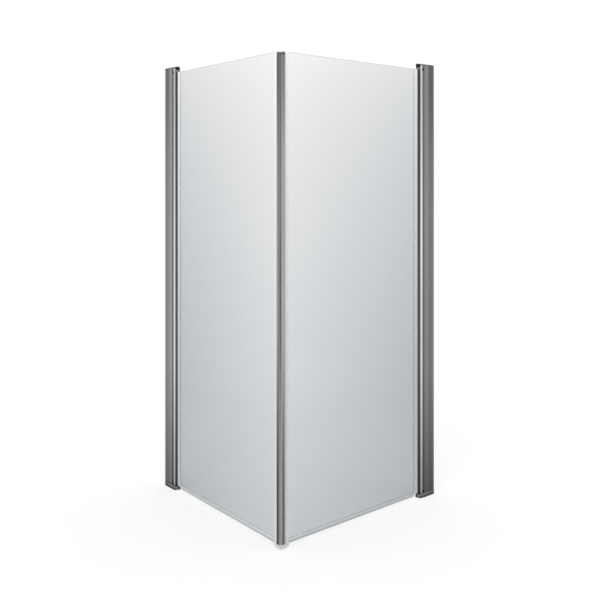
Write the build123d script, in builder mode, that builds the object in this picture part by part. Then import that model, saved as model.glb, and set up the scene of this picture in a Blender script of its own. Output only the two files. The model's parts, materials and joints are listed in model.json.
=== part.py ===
from build123d import *
from math import cos, radians, sin, sqrt
import os

os.makedirs("parts", exist_ok=True)

# A corner shower enclosure: two glass doors that meet at 90 degrees, each hinged at its wall.
# The left panel runs along +X from its wall at x = 0, and the outside of it is -Y.
# The right panel is the left one mirrored in the upright plane through the front corner.
# The origin is on the tray, at the middle of the left wall channel's back. Lengths in mm.

# Overall sizes
SCREEN_HEIGHT = 2000.0
SCREEN_SIDE = 905.0
FRAME_DEPTH = 25.0

# Fits and gaps
RUNNING_FIT = 0.05
SLIDE_GAP = 0.3
END_FLOAT = 0.3
SCREW_GAP = 0.1

# Wall channel, and the frame profile that slides over it
ALLOY_WALL = 1.8
CHANNEL_SHOWN = 13.0
CHANNEL_REACH = 45.0
CHANNEL_WEB = 2.5
LEG_WALL = 1.6
WALL_SCREW_HOLE = 5.5
WALL_SCREW_MARGIN = 97.0
WALL_SCREWS = 4
WEB_SETBACK = 3.0

# Outer face, groove and bead of the frame profile
FACE_WIDTH = 52.7
GROOVE_DEPTH = 3.0
BEAD_RADIUS = 5.5
BEAD_INSET = 0.5
EDGE_ROUND = 0.5

# Hinge
HINGE_FROM_WALL = 95.0
BAR_INSET = 3.5
SOCKET_GAP = 0.5
LIP_WRAP = 80.0
SOCKET_BACK = 200.0
CHAMBER_TURN = 165.0
PORT_RADIUS = 2.5
PORT_OFFSET = 4.5
PEG_GAP = 0.3
PEG_LENGTH = 25.0
BUSH_INSET = 0.3
BUSH_CHAMFER = 1.2
TOP_BUSH_HEIGHT = 13.0
PIN_RADIUS = 2.5
PIN_BITE = 11.0
PIN_HEAD_RADIUS = 4.0
PIN_HEAD_HEIGHT = 1.2
THRUST_RADIUS = 6.0
THRUST_HEIGHT = 1.0

# End blocks
TOP_PLATE = 6.0
TOP_EAR = 3.0
TOP_ROUND = 2.4
PAD_HEIGHT = 6.0
PAD_INSET = 0.6
BOTTOM_BLOCK_HEIGHT = 16.0
BOTTOM_EAR = 6.0
BLOCK_PROUD = 2.0
EAR_INSET = 0.7
COVER_SETBACK = 4.0
COVER_EDGE = 3.0
SPIGOT_LENGTH = 35.0
SPIGOT_GAP = 0.2

# Screws
BLOCK_SCREW_HEAD = 10.4
BLOCK_SCREW_HEIGHT = 2.4
BLOCK_SCREW_SHANK = 4.0
BLOCK_SCREW_LENGTH = 10.0
TOP_SCREW_DROP = 19.0
BOTTOM_SCREW_RISE = 6.0
LOCK_SCREW_FROM_WALL = 32.0
LOCK_SCREW_MARGIN = 130.0
LOCK_SCREWS = 3
LOCK_SCREW_HEAD = 8.0
LOCK_SCREW_HEIGHT = 2.8
LOCK_SCREW_SHANK = 4.2
LOCK_SCREW_LENGTH = 7.0
HEAD_CHAMFER = 0.8

# Glass, and the strips round its upright edges
GLASS_THICKNESS = 6.0
GLASS_BOTTOM = 26.0
GLASS_TOP_DROP = 26.0
GLASS_CHAMFER = 0.5
BAR_BITE = 6.5
STRIP_WALL = 1.0
STRIP_LIP = 21.0
LIP_ROOT = 1.6
LIP_TIP = 0.6

# Corner profile, one half of the front post, with its cap and foot
POST_DEPTH = 19.0
POST_REACH = 16.0
POST_GROOVE = 5.0
POST_ROUND = 1.5
POST_SLOT_FLOOR = 7.0
POST_WALL = 1.4
MITRE_GAP = 0.25
MAGNET_WIDTH = 8.0
MAGNET_DEPTH = 3.0
MAGNET_GAP = 0.1
CAP_HEIGHT = 13.0
CAP_DROP = 2.0
CAP_ROUND = 1.2
CAP_NOTCH = 4.0
CAP_NOTCH_REACH = 6.0
PLUG_LENGTH = 12.0
PLUG_GAP = 0.2
POST_BELOW_GLASS = 6.0
FOOT_HEIGHT = 13.0
FOOT_PROUD = 2.5
FOOT_STEP = 6.5
FOOT_CORNER = 3.0
FOOT_ROUND = 2.0
FOOT_BEVEL = 1.0

# Seal on the lower edge of the glass
SEAL_LEG = 8.0
SEAL_DROP = 9.6
SEAL_LIP = 1.4
WING_REACH = 5.0
WING_DROP = 5.0

# Heights from the tray
CHANNEL_TOP = SCREEN_HEIGHT - TOP_PLATE
FRAME_BOTTOM = PAD_HEIGHT + BOTTOM_BLOCK_HEIGHT
TOP_SCREW_AT = CHANNEL_TOP - TOP_SCREW_DROP
LOW_SCREW_AT = FRAME_BOTTOM + BOTTOM_SCREW_RISE
GLASS_TOP = SCREEN_HEIGHT - GLASS_TOP_DROP
TOP_BUSH_TOP = SCREEN_HEIGHT - TOP_EAR - END_FLOAT
TOP_BUSH_BOTTOM = TOP_BUSH_TOP - TOP_BUSH_HEIGHT
LOW_EAR_TOP = PAD_HEIGHT + BOTTOM_EAR
LOW_BUSH_BOTTOM = LOW_EAR_TOP + THRUST_HEIGHT + END_FLOAT
CAP_TOP = GLASS_TOP - CAP_DROP
CAP_BOTTOM = CAP_TOP - CAP_HEIGHT
POST_BOTTOM = GLASS_BOTTOM - POST_BELOW_GLASS

# Half widths and radii, outwards and inwards from the middle of the glass
HALF_FRAME = FRAME_DEPTH / 2
HALF_CAVITY = HALF_FRAME - ALLOY_WALL
HALF_LEGS = HALF_CAVITY - SLIDE_GAP
HALF_GLASS = GLASS_THICKNESS / 2
HALF_SLOT = HALF_GLASS + STRIP_WALL
HALF_POST = POST_DEPTH / 2
HALF_FOOT = HALF_POST + FOOT_PROUD
GROOVE_FLOOR = HALF_FRAME - GROOVE_DEPTH
BEAD_OUT = HALF_FRAME - BEAD_INSET - BEAD_RADIUS
BAR_RADIUS = HALF_FRAME - BAR_INSET
BUSH_RADIUS = BAR_RADIUS - BUSH_INSET
SOCKET_RADIUS = BAR_RADIUS + SOCKET_GAP
LOW_EAR_RADIUS = BUSH_RADIUS - EAR_INSET
HALF_BLOCK = HALF_FRAME + BLOCK_PROUD

# Distances from the wall
CORNER = SCREEN_SIDE - FRAME_DEPTH / 2
FRAME_START = CHANNEL_SHOWN + SLIDE_GAP
FACE_END = FRAME_START + FACE_WIDTH
CHAMBER_START = CHANNEL_REACH + WEB_SETBACK + ALLOY_WALL
BEAD_CENTRE = HINGE_FROM_WALL - sqrt((SOCKET_RADIUS + BEAD_RADIUS) ** 2 - BEAD_OUT**2)
GROOVE_END = BEAD_CENTRE - sqrt(BEAD_RADIUS**2 - (GROOVE_FLOOR - BEAD_OUT) ** 2)
GROOVE_MIDDLE = (FACE_END + GROOVE_END) / 2
COVER_CENTRE = HINGE_FROM_WALL - COVER_SETBACK
BAR_MOUTH = HINGE_FROM_WALL + sqrt(BAR_RADIUS**2 - HALF_SLOT**2)
BAR_SLOT_FLOOR = BAR_MOUTH - BAR_BITE
GLASS_START = BAR_SLOT_FLOOR + STRIP_WALL
HINGE_LIP_END = BAR_MOUTH + SLIDE_GAP + STRIP_LIP
POST_START = CORNER - POST_REACH
POST_SLOT_END = CORNER - POST_SLOT_FLOOR
GLASS_END = POST_SLOT_END - STRIP_WALL
EDGE_LIP_END = POST_START - SLIDE_GAP - STRIP_LIP
FOOT_START = POST_START - FOOT_STEP


# Planes and places


def plan(height):
    """Level plane that looks down: x runs away from the wall, y points out of the shower."""
    return Plane(origin=(0, 0, height), x_dir=(1, 0, 0), z_dir=(0, 0, -1))


def facing_out(distance, out, height):
    """Upright plane beside the panel that faces out of the shower."""
    return Plane(origin=(distance, -out, height), x_dir=(1, 0, 0), z_dir=(0, -1, 0))


def facing_in(distance, inwards, height):
    """Upright plane beside the panel that faces into the shower."""
    return Plane(origin=(distance, inwards, height), x_dir=(-1, 0, 0), z_dir=(0, 1, 0))


def spread(first, last, count):
    """Evenly spaced heights from the first to the last."""
    step = (last - first) / (count - 1)
    return [first + step * index for index in range(count)]


def round_the_hinge(radius, degrees):
    """Point on a circle about the hinge axis, turned from the line to the front corner."""
    turn = radians(degrees)
    return (HINGE_FROM_WALL + radius * cos(turn), radius * sin(turn))


LOCK_SCREW_HEIGHTS = spread(
    FRAME_BOTTOM + LOCK_SCREW_MARGIN, CHANNEL_TOP - LOCK_SCREW_MARGIN, LOCK_SCREWS
)
LOCK_SCREW_PLANES = [
    facing_in(LOCK_SCREW_FROM_WALL, HALF_FRAME, height) for height in LOCK_SCREW_HEIGHTS
]


# Plan outlines that several pieces share


def channel_outline(gap):
    """The wall channel from outside, grown by a gap."""
    with BuildSketch() as outline:
        with Locations(((CHANNEL_SHOWN + gap) / 2, 0)):
            Rectangle(CHANNEL_SHOWN + gap, FRAME_DEPTH + 2 * gap)
        with Locations(((CHANNEL_REACH + gap) / 2, 0)):
            Rectangle(CHANNEL_REACH + gap, 2 * (HALF_LEGS + gap))
    return outline.sketch


def frame_outline(start):
    """Face, groove, bead, hinge socket and inner side of the frame, from a distance off the wall."""
    socket_share = SOCKET_RADIUS / (SOCKET_RADIUS + BEAD_RADIUS)
    bead_foot = (
        HINGE_FROM_WALL + (BEAD_CENTRE - HINGE_FROM_WALL) * socket_share,
        BEAD_OUT * socket_share,
    )
    bead_top = (BEAD_CENTRE, BEAD_OUT + BEAD_RADIUS)
    lip_tip = round_the_hinge(SOCKET_RADIUS, -LIP_WRAP)
    with BuildSketch() as outline:
        with BuildLine():
            Polyline(
                lip_tip,
                (lip_tip[0], -HALF_FRAME),
                (start, -HALF_FRAME),
                (start, HALF_FRAME),
                (FACE_END, HALF_FRAME),
                (FACE_END, GROOVE_FLOOR),
                (GROOVE_END, GROOVE_FLOOR),
            )
            ThreePointArc((GROOVE_END, GROOVE_FLOOR), bead_top, bead_foot)
            ThreePointArc(bead_foot, round_the_hinge(SOCKET_RADIUS, SOCKET_BACK), lip_tip)
        make_face()
    return outline.sketch


def frame_chamber(gap):
    """Hollow behind the groove and the socket, drawn in by a gap."""
    wall = ALLOY_WALL + gap
    inner_side = -HALF_FRAME + wall
    arc_radius = SOCKET_RADIUS + wall
    inner_corner = (HINGE_FROM_WALL - sqrt(arc_radius**2 - inner_side**2), inner_side)
    bead_corner = round_the_hinge(arc_radius, CHAMBER_TURN)
    with BuildSketch() as chamber:
        with BuildLine():
            Polyline(
                inner_corner,
                (CHAMBER_START + gap, inner_side),
                (CHAMBER_START + gap, HALF_FRAME - wall),
                (FACE_END - wall, HALF_FRAME - wall),
                (FACE_END - wall, GROOVE_FLOOR - wall),
                (GROOVE_END - wall, GROOVE_FLOOR - wall),
                bead_corner,
            )
            ThreePointArc(bead_corner, round_the_hinge(arc_radius, SOCKET_BACK), inner_corner)
        make_face()
    return chamber.sketch


def ear_outline(radius):
    """Rounded ear that reaches from the frame to round the hinge axis."""
    with BuildSketch() as ear:
        with Locations(((FACE_END + HINGE_FROM_WALL) / 2, 0)):
            Rectangle(HINGE_FROM_WALL - FACE_END, 2 * radius)
        with Locations((HINGE_FROM_WALL, 0)):
            Circle(radius)
    return ear.sketch


def low_outline(grow):
    """The frame's outline grown all round, clear of the wall and the channel."""
    with BuildSketch() as outline:
        add(frame_outline(SLIDE_GAP + grow))
        offset(amount=grow)
        add(channel_outline(SLIDE_GAP), mode=Mode.SUBTRACT)
    return outline.sketch


def bush_cover():
    """Round nose that carries the block's outer face past the groove, the bead and the bush."""
    corner = HALF_BLOCK * sqrt(0.5)
    tip = (COVER_CENTRE + sqrt(HALF_BLOCK**2 - COVER_EDGE**2), COVER_EDGE)
    face_end = (COVER_CENTRE, HALF_BLOCK)
    with BuildSketch() as cover:
        with BuildLine():
            Polyline(tip, (FACE_END, COVER_EDGE), (FACE_END, HALF_BLOCK), face_end)
            ThreePointArc(face_end, (COVER_CENTRE + corner, corner), tip)
        make_face()
    return cover.sketch


def glass_strip(slot_floor, mouth, lip_end, glass_edge):
    """U round an upright edge of the glass, with a tapered lip on each side."""
    with BuildSketch() as strip:
        for side in (1, -1):
            with BuildLine():
                Polyline(
                    (slot_floor, 0),
                    (slot_floor, side * HALF_SLOT),
                    (mouth, side * HALF_SLOT),
                    (mouth, side * (HALF_GLASS + LIP_ROOT)),
                    (lip_end, side * (HALF_GLASS + LIP_TIP)),
                    (lip_end, side * HALF_GLASS),
                    (glass_edge, side * HALF_GLASS),
                    (glass_edge, 0),
                    close=True,
                )
            make_face()
    return strip.sketch


def post_outline():
    """Half of the front post: outer face, quarter groove, mitred face and inner face."""
    mitre_shift = MITRE_GAP * sqrt(2)
    flank = HALF_POST - POST_GROOVE
    with BuildSketch() as outline:
        with BuildLine():
            Polyline(
                (POST_START, HALF_POST),
                (CORNER + flank, HALF_POST),
                (CORNER + flank, flank + mitre_shift),
                (CORNER - HALF_POST - mitre_shift, -HALF_POST),
                (POST_START, -HALF_POST),
                close=True,
            )
        make_face()
        fillet(outline.vertices().group_by(Axis.Y)[-1], POST_ROUND)
        fillet(outline.vertices().group_by(Axis.X)[0].sort_by(Axis.Y)[0], POST_ROUND)
    return outline.sketch


def foot_outline():
    """Half of the foot: proud of the post, with a bevelled front and a mitred face."""
    mitre_shift = MITRE_GAP * sqrt(2)
    front = HALF_FOOT - FOOT_CORNER
    with BuildSketch() as outline:
        with BuildLine():
            Polyline(
                (FOOT_START, HALF_FOOT),
                (CORNER + front - FOOT_CORNER, HALF_FOOT),
                (CORNER + front, front + mitre_shift),
                (CORNER - HALF_FOOT - mitre_shift, -HALF_FOOT),
                (FOOT_START, -HALF_FOOT),
                close=True,
            )
        make_face()
        fillet(outline.vertices().group_by(Axis.X)[0], FOOT_CORNER)
    return outline.sketch


def post_slot():
    """Slot that the glass and its strip stand in."""
    with BuildSketch() as slot:
        with Locations(((POST_START + POST_SLOT_END) / 2, 0)):
            Rectangle(POST_SLOT_END - POST_START, 2 * HALF_SLOT)
    return slot.sketch


def magnet_outline(gap):
    """Magnet behind the mitred face, centred on the front corner, drawn in by a gap."""
    depth = MAGNET_DEPTH - gap
    inwards = (MITRE_GAP + gap + depth / 2) / sqrt(2)
    with BuildSketch() as magnet:
        with Locations((CORNER - inwards, inwards)):
            Rectangle(MAGNET_WIDTH - 2 * gap, depth - gap, rotation=45)
    return magnet.sketch


def post_chamber(gap):
    """Flat hollow between the glass slot and the outer face, drawn in by a gap."""
    magnet_corner = CORNER + (MAGNET_WIDTH / 2 - MITRE_GAP - MAGNET_DEPTH) / sqrt(2)
    start = POST_START + POST_WALL + gap
    end = magnet_corner - POST_WALL - gap
    low = HALF_SLOT + POST_WALL + gap
    high = HALF_POST - POST_WALL - gap
    with BuildSketch() as chamber:
        with Locations(((start + end) / 2, (low + high) / 2)):
            Rectangle(end - start, high - low)
    return chamber.sketch


# Wall channel

with BuildPart() as wall_channel:
    with BuildSketch(plan(CHANNEL_TOP)):
        add(channel_outline(0))
        with Locations(((CHANNEL_WEB + CHANNEL_SHOWN - ALLOY_WALL) / 2, 0)):
            Rectangle(CHANNEL_SHOWN - ALLOY_WALL - CHANNEL_WEB, 2 * HALF_CAVITY, mode=Mode.SUBTRACT)
        with Locations(((CHANNEL_WEB + CHANNEL_REACH) / 2, 0)):
            Rectangle(CHANNEL_REACH - CHANNEL_WEB, 2 * (HALF_LEGS - LEG_WALL), mode=Mode.SUBTRACT)
    extrude(amount=CHANNEL_TOP)
    for height in spread(WALL_SCREW_MARGIN, CHANNEL_TOP - WALL_SCREW_MARGIN, WALL_SCREWS):
        with Locations(Plane(origin=(0, 0, height), z_dir=(-1, 0, 0))):
            Hole(WALL_SCREW_HOLE / 2, CHANNEL_WEB)
    with Locations(LOCK_SCREW_PLANES):
        Hole(LOCK_SCREW_SHANK / 2 + SCREW_GAP, LOCK_SCREW_LENGTH)

# Frame profile, with its long outer edges rounded

with BuildSketch() as rounded_frame:
    add(frame_outline(FRAME_START))
    fillet(rounded_frame.vertices().group_by(Axis.Y)[0], EDGE_ROUND)
    fillet(rounded_frame.vertices().group_by(Axis.Y)[-1], EDGE_ROUND)

with BuildPart() as frame_profile:
    with BuildSketch(plan(CHANNEL_TOP)):
        add(rounded_frame.sketch)
        with Locations(((FRAME_START + CHANNEL_REACH + WEB_SETBACK) / 2, 0)):
            Rectangle(CHANNEL_REACH + WEB_SETBACK - FRAME_START, 2 * HALF_CAVITY, mode=Mode.SUBTRACT)
        add(frame_chamber(0), mode=Mode.SUBTRACT)
    extrude(amount=CHANNEL_TOP - FRAME_BOTTOM)
    for height in (TOP_SCREW_AT, LOW_SCREW_AT):
        with Locations(facing_out(GROOVE_MIDDLE, GROOVE_FLOOR, height)):
            Hole(BLOCK_SCREW_SHANK / 2 + SCREW_GAP, ALLOY_WALL + SCREW_GAP)
    with Locations(LOCK_SCREW_PLANES):
        Hole(LOCK_SCREW_SHANK / 2 + SCREW_GAP, ALLOY_WALL + SCREW_GAP)

# Top block: plate over the profiles, spigot in the frame's chamber and ear over the hinge

with BuildPart() as top_block:
    with BuildSketch(plan(SCREEN_HEIGHT)):
        add(frame_outline(SLIDE_GAP))
        add(ear_outline(SOCKET_RADIUS))
    extrude(amount=TOP_EAR)
    fillet(top_block.faces().sort_by(Axis.Z)[-1].outer_wire().edges(), TOP_ROUND)
    with BuildSketch(plan(SCREEN_HEIGHT - TOP_EAR)):
        add(frame_outline(SLIDE_GAP))
    extrude(amount=TOP_PLATE - TOP_EAR)
    with BuildSketch(plan(CHANNEL_TOP)):
        add(frame_chamber(SPIGOT_GAP))
    extrude(amount=SPIGOT_LENGTH)
    with Locations((HINGE_FROM_WALL, 0, SCREEN_HEIGHT)):
        CounterBoreHole(PIN_RADIUS + RUNNING_FIT, PIN_HEAD_RADIUS + SCREW_GAP, PIN_HEAD_HEIGHT, TOP_EAR)
    with Locations(facing_out(GROOVE_MIDDLE, GROOVE_FLOOR, TOP_SCREW_AT)):
        Hole(BLOCK_SCREW_SHANK / 2 + SCREW_GAP, BLOCK_SCREW_LENGTH + SCREW_GAP)

# Bottom block: stands on the pad, carries the frame, and holds the lower ear and bush cover

with BuildPart() as bottom_block:
    with BuildSketch(plan(FRAME_BOTTOM)):
        add(low_outline(BLOCK_PROUD))
        add(bush_cover())
        with Locations((HINGE_FROM_WALL, 0)):
            Circle(SOCKET_RADIUS, mode=Mode.SUBTRACT)
    extrude(amount=BOTTOM_BLOCK_HEIGHT)
    with BuildSketch(plan(LOW_EAR_TOP)):
        add(low_outline(BLOCK_PROUD))
        add(bush_cover())
        add(ear_outline(LOW_EAR_RADIUS))
    extrude(amount=BOTTOM_EAR)
    with BuildSketch(plan(FRAME_BOTTOM + SPIGOT_LENGTH)):
        add(frame_chamber(SPIGOT_GAP))
    extrude(amount=SPIGOT_LENGTH)
    with Locations((HINGE_FROM_WALL, 0, LOW_EAR_TOP)):
        Hole(PIN_RADIUS + RUNNING_FIT, BOTTOM_EAR)
    with Locations(facing_out(GROOVE_MIDDLE, GROOVE_FLOOR, LOW_SCREW_AT)):
        Hole(BLOCK_SCREW_SHANK / 2 + SCREW_GAP, BLOCK_SCREW_LENGTH + SCREW_GAP)

# Base pad

with BuildPart() as base_pad:
    with BuildSketch(plan(PAD_HEIGHT)):
        add(low_outline(BLOCK_PROUD - PAD_INSET))
    extrude(amount=PAD_HEIGHT)

# Screws: round heads on the groove floor, and on the inner side of the frame

with BuildPart() as block_screws:
    for height in (TOP_SCREW_AT, LOW_SCREW_AT):
        seat = facing_out(GROOVE_MIDDLE, GROOVE_FLOOR, height)
        with BuildSketch(seat):
            Circle(BLOCK_SCREW_HEAD / 2)
        extrude(amount=BLOCK_SCREW_HEIGHT)
        with BuildSketch(seat):
            Circle(BLOCK_SCREW_SHANK / 2)
        extrude(amount=-BLOCK_SCREW_LENGTH)
    chamfer(block_screws.edges().group_by(Axis.Y)[0], HEAD_CHAMFER)

with BuildPart() as lock_screws:
    for seat in LOCK_SCREW_PLANES:
        with BuildSketch(seat):
            Circle(LOCK_SCREW_HEAD / 2)
        extrude(amount=LOCK_SCREW_HEIGHT)
        with BuildSketch(seat):
            Circle(LOCK_SCREW_SHANK / 2)
        extrude(amount=-LOCK_SCREW_LENGTH)
    chamfer(lock_screws.edges().group_by(Axis.Y)[-1], HEAD_CHAMFER)

# Pivot pins

with BuildPart() as top_pivot_pin:
    with BuildSketch(plan(SCREEN_HEIGHT)):
        with Locations((HINGE_FROM_WALL, 0)):
            Circle(PIN_HEAD_RADIUS)
    extrude(amount=PIN_HEAD_HEIGHT)
    with BuildSketch(plan(SCREEN_HEIGHT)):
        with Locations((HINGE_FROM_WALL, 0)):
            Circle(PIN_RADIUS)
    extrude(amount=SCREEN_HEIGHT - TOP_BUSH_TOP + PIN_BITE)

with BuildPart() as bottom_pivot_pin:
    with BuildSketch(plan(LOW_BUSH_BOTTOM + PIN_BITE)):
        with Locations((HINGE_FROM_WALL, 0)):
            Circle(PIN_RADIUS)
    extrude(amount=LOW_BUSH_BOTTOM + PIN_BITE - PAD_HEIGHT)
    with BuildSketch(plan(LOW_EAR_TOP + THRUST_HEIGHT)):
        with Locations((HINGE_FROM_WALL, 0)):
            Circle(THRUST_RADIUS)
    extrude(amount=THRUST_HEIGHT)

# Hinge bar with its glass slot and the port for the bush pegs

with BuildPart() as hinge_bar:
    with BuildSketch(plan(GLASS_TOP)):
        with Locations((HINGE_FROM_WALL, 0)):
            Circle(BAR_RADIUS)
        with Locations((BAR_SLOT_FLOOR + BAR_RADIUS / 2, 0)):
            Rectangle(BAR_RADIUS, 2 * HALF_SLOT, mode=Mode.SUBTRACT)
        with Locations((HINGE_FROM_WALL - PORT_OFFSET, 0)):
            Circle(PORT_RADIUS, mode=Mode.SUBTRACT)
    extrude(amount=GLASS_TOP - GLASS_BOTTOM)

# Bushes: a collar bored for the pin, and a peg off the axis that turns them with the bar

with BuildPart() as top_bush:
    with BuildSketch(plan(TOP_BUSH_TOP)):
        with Locations((HINGE_FROM_WALL, 0)):
            Circle(BUSH_RADIUS)
    extrude(amount=TOP_BUSH_HEIGHT)
    chamfer(top_bush.edges().filter_by(GeomType.CIRCLE), BUSH_CHAMFER)
    with BuildSketch(plan(TOP_BUSH_BOTTOM)):
        with Locations((HINGE_FROM_WALL - PORT_OFFSET, 0)):
            Circle(PORT_RADIUS - PEG_GAP)
    extrude(amount=TOP_BUSH_BOTTOM - GLASS_TOP + PEG_LENGTH)
    with Locations((HINGE_FROM_WALL, 0, TOP_BUSH_TOP)):
        Hole(PIN_RADIUS + RUNNING_FIT, PIN_BITE + END_FLOAT)

with BuildPart() as top_ring:
    with BuildSketch(plan(TOP_BUSH_BOTTOM)):
        with Locations((HINGE_FROM_WALL, 0)):
            Circle(BUSH_RADIUS)
        with Locations((HINGE_FROM_WALL - PORT_OFFSET, 0)):
            Circle(PORT_RADIUS, mode=Mode.SUBTRACT)
    extrude(amount=TOP_BUSH_BOTTOM - GLASS_TOP)

with BuildPart() as bottom_bush:
    with BuildSketch(plan(GLASS_BOTTOM)):
        with Locations((HINGE_FROM_WALL, 0)):
            Circle(BUSH_RADIUS)
    extrude(amount=GLASS_BOTTOM - LOW_BUSH_BOTTOM)
    chamfer(bottom_bush.edges().filter_by(GeomType.CIRCLE), BUSH_CHAMFER)
    with BuildSketch(plan(GLASS_BOTTOM + PEG_LENGTH)):
        with Locations((HINGE_FROM_WALL - PORT_OFFSET, 0)):
            Circle(PORT_RADIUS - PEG_GAP)
    extrude(amount=PEG_LENGTH)
    with Locations((HINGE_FROM_WALL, 0, LOW_BUSH_BOTTOM)):
        Hole(PIN_RADIUS + RUNNING_FIT, PIN_BITE + END_FLOAT)

# Glass

with BuildPart() as glass:
    with BuildSketch(plan(GLASS_TOP)):
        with Locations(((GLASS_START + GLASS_END) / 2, 0)):
            Rectangle(GLASS_END - GLASS_START, GLASS_THICKNESS)
    extrude(amount=GLASS_TOP - GLASS_BOTTOM)
    chamfer(glass.edges(), GLASS_CHAMFER)

# Strips round the upright edges of the glass

with BuildPart() as hinge_gasket:
    with BuildSketch(plan(GLASS_TOP)):
        add(glass_strip(BAR_SLOT_FLOOR, BAR_MOUTH + SLIDE_GAP, HINGE_LIP_END, GLASS_START))
    extrude(amount=GLASS_TOP - GLASS_BOTTOM)

with BuildPart() as edge_gasket:
    with BuildSketch(plan(GLASS_TOP)):
        add(glass_strip(POST_SLOT_END, POST_START - SLIDE_GAP, EDGE_LIP_END, GLASS_END))
    extrude(amount=GLASS_TOP - POST_BOTTOM)

# Corner profile

with BuildPart() as corner_profile:
    with BuildSketch(plan(CAP_BOTTOM)):
        add(post_outline())
        add(post_slot(), mode=Mode.SUBTRACT)
        add(magnet_outline(0), mode=Mode.SUBTRACT)
        add(post_chamber(0), mode=Mode.SUBTRACT)
    extrude(amount=CAP_BOTTOM - POST_BOTTOM)

# Cap and foot, plugged into the hollow of the corner profile

with BuildPart() as corner_cap:
    with BuildSketch(plan(CAP_TOP)):
        add(post_outline())
        add(post_slot(), mode=Mode.SUBTRACT)
    extrude(amount=CAP_HEIGHT)
    cap_rim = corner_cap.faces().sort_by(Axis.Z)[-1].outer_wire().edges()
    fillet(cap_rim.filter_by_position(Axis.Y, -HALF_POST, -HALF_SLOT - POST_WALL), CAP_ROUND)
    with BuildSketch(Plane(origin=(CORNER, 0, CAP_TOP), x_dir=(1, 1, 0), z_dir=(1, -1, 0))):
        with BuildLine():
            Polyline((-CAP_NOTCH_REACH, 0), (CAP_NOTCH_REACH, 0), (0, -CAP_NOTCH), close=True)
        make_face()
    extrude(amount=POST_DEPTH, both=True, mode=Mode.SUBTRACT)
    with BuildSketch(plan(CAP_BOTTOM)):
        add(post_chamber(PLUG_GAP))
    extrude(amount=PLUG_LENGTH)

with BuildPart() as corner_foot:
    with BuildSketch(plan(POST_BOTTOM)):
        add(foot_outline())
        with Locations(((EDGE_LIP_END + FOOT_START) / 2, 0)):
            Rectangle(FOOT_START - EDGE_LIP_END, 2 * (HALF_GLASS + LIP_ROOT))
    extrude(amount=FOOT_HEIGHT)
    foot_top = corner_foot.faces().sort_by(Axis.Z)[-1].outer_wire().edges()
    foot_rim = corner_foot.faces().sort_by(Axis.Z)[0].outer_wire().edges()
    chamfer(foot_top.filter_by_position(Axis.Y, -HALF_FOOT, -HALF_SLOT - POST_WALL), FOOT_BEVEL)
    fillet(foot_rim.filter_by_position(Axis.Y, -HALF_FOOT, -HALF_SLOT - POST_WALL), FOOT_ROUND)
    with BuildSketch(plan(POST_BOTTOM + PLUG_LENGTH)):
        add(post_chamber(PLUG_GAP))
    extrude(amount=PLUG_LENGTH)

# Magnet strip

with BuildPart() as magnet_strip:
    with BuildSketch(plan(CAP_BOTTOM)):
        add(magnet_outline(MAGNET_GAP))
    extrude(amount=CAP_BOTTOM - POST_BOTTOM)

# Bottom seal: U round the lower edge, an upright lip outside and a drip wing inside

with BuildPart() as bottom_seal:
    seal_end = EDGE_LIP_END - SLIDE_GAP
    seal_floor = GLASS_BOTTOM - STRIP_WALL
    with BuildSketch(Plane(origin=(seal_end, 0, 0), x_dir=(0, -1, 0), z_dir=(-1, 0, 0))):
        with BuildLine():
            Polyline(
                (HALF_SLOT, GLASS_BOTTOM + SEAL_LEG),
                (HALF_GLASS, GLASS_BOTTOM + SEAL_LEG),
                (HALF_GLASS, GLASS_BOTTOM),
                (-HALF_GLASS, GLASS_BOTTOM),
                (-HALF_GLASS, GLASS_BOTTOM + SEAL_LEG),
                (-HALF_SLOT, GLASS_BOTTOM + SEAL_LEG),
                (-HALF_SLOT, GLASS_BOTTOM),
                (-HALF_SLOT - WING_REACH, GLASS_BOTTOM - WING_DROP),
                (-HALF_SLOT - WING_REACH, GLASS_BOTTOM - WING_DROP - STRIP_WALL),
                (-HALF_SLOT, seal_floor),
                (HALF_SLOT - SEAL_LIP, seal_floor),
                (HALF_SLOT - SEAL_LIP, GLASS_BOTTOM - SEAL_DROP),
                (HALF_SLOT, GLASS_BOTTOM - SEAL_DROP),
                close=True,
            )
        make_face()
    extrude(amount=seal_end - HINGE_LIP_END - SLIDE_GAP)

# Both sides: the left pieces as drawn, the right pieces mirrored through the front corner

PIECES = {
    "wall_channel": wall_channel,
    "frame_profile": frame_profile,
    "top_block": top_block,
    "bottom_block": bottom_block,
    "base_pad": base_pad,
    "block_screws": block_screws,
    "lock_screws": lock_screws,
    "top_pivot_pin": top_pivot_pin,
    "bottom_pivot_pin": bottom_pivot_pin,
    "hinge_bar": hinge_bar,
    "top_bush": top_bush,
    "top_ring": top_ring,
    "bottom_bush": bottom_bush,
    "glass": glass,
    "hinge_gasket": hinge_gasket,
    "edge_gasket": edge_gasket,
    "corner_profile": corner_profile,
    "corner_cap": corner_cap,
    "corner_foot": corner_foot,
    "magnet_strip": magnet_strip,
    "bottom_seal": bottom_seal,
}
MIRROR_PLANE = Plane(origin=(CORNER, 0, 0), z_dir=(1, 1, 0))

for name, piece in PIECES.items():
    with BuildPart() as other_side:
        mirror(piece.part, about=MIRROR_PLANE)
    piece.part.label = f"left_{name}"
    other_side.part.label = f"right_{name}"
    export_step(piece.part, f"parts/left_{name}.step")
    export_step(other_side.part, f"parts/right_{name}.step")
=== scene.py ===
"""Dresses the frame of a corner shower screen: two clear glass doors that meet in a slim post."""

import json
from functools import wraps
from math import acos, asin, atan2, cos, pi, radians, sin, sqrt, tan

import bpy
from bpy.props import FloatProperty, FloatVectorProperty, IntProperty, PointerProperty
from mathutils import Matrix, Vector


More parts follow.
